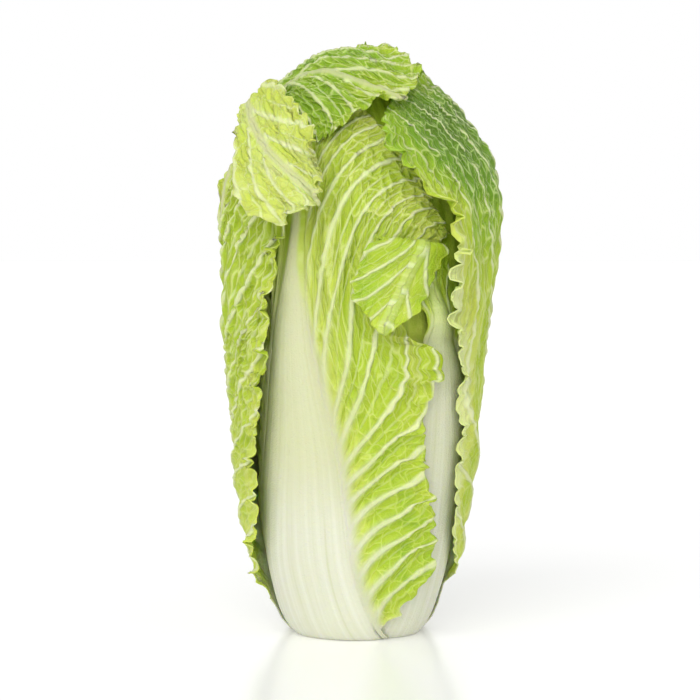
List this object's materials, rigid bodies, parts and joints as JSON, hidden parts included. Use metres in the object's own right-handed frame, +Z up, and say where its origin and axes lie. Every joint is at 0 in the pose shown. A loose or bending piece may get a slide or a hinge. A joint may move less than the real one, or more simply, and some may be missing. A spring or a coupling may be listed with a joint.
{
  "type": "chinese cabbage",
  "caption": "Barrel-shaped head of chinese cabbage standing on its cut butt, broad pale stalks and pleated, frilled green leaves wrapped round a packed heart.",
  "frame": {"origin": "middle of the cut face of the stem, on which the head stands", "axes": "+Z up along the head, -Y towards the side in the picture, +X to its right"},
  "size_m": [0.1473, 0.1482, 0.3024],
  "materials": {
    "stem": "moist cut flesh",
    "heart": "satin, slightly waxy",
    "leaf": "satin, pale stalks and green pleated blades"
  },
  "bodies": {
    "root": {"stem": "stem", "heart": "heart", "leaf_front": "leaf", "leaf_front_right": "leaf", "leaf_right": "leaf", "leaf_back_right": "leaf", "leaf_back_left": "leaf", "leaf_left_inner": "leaf", "leaf_left": "leaf"}
  },
  "joints": []
}
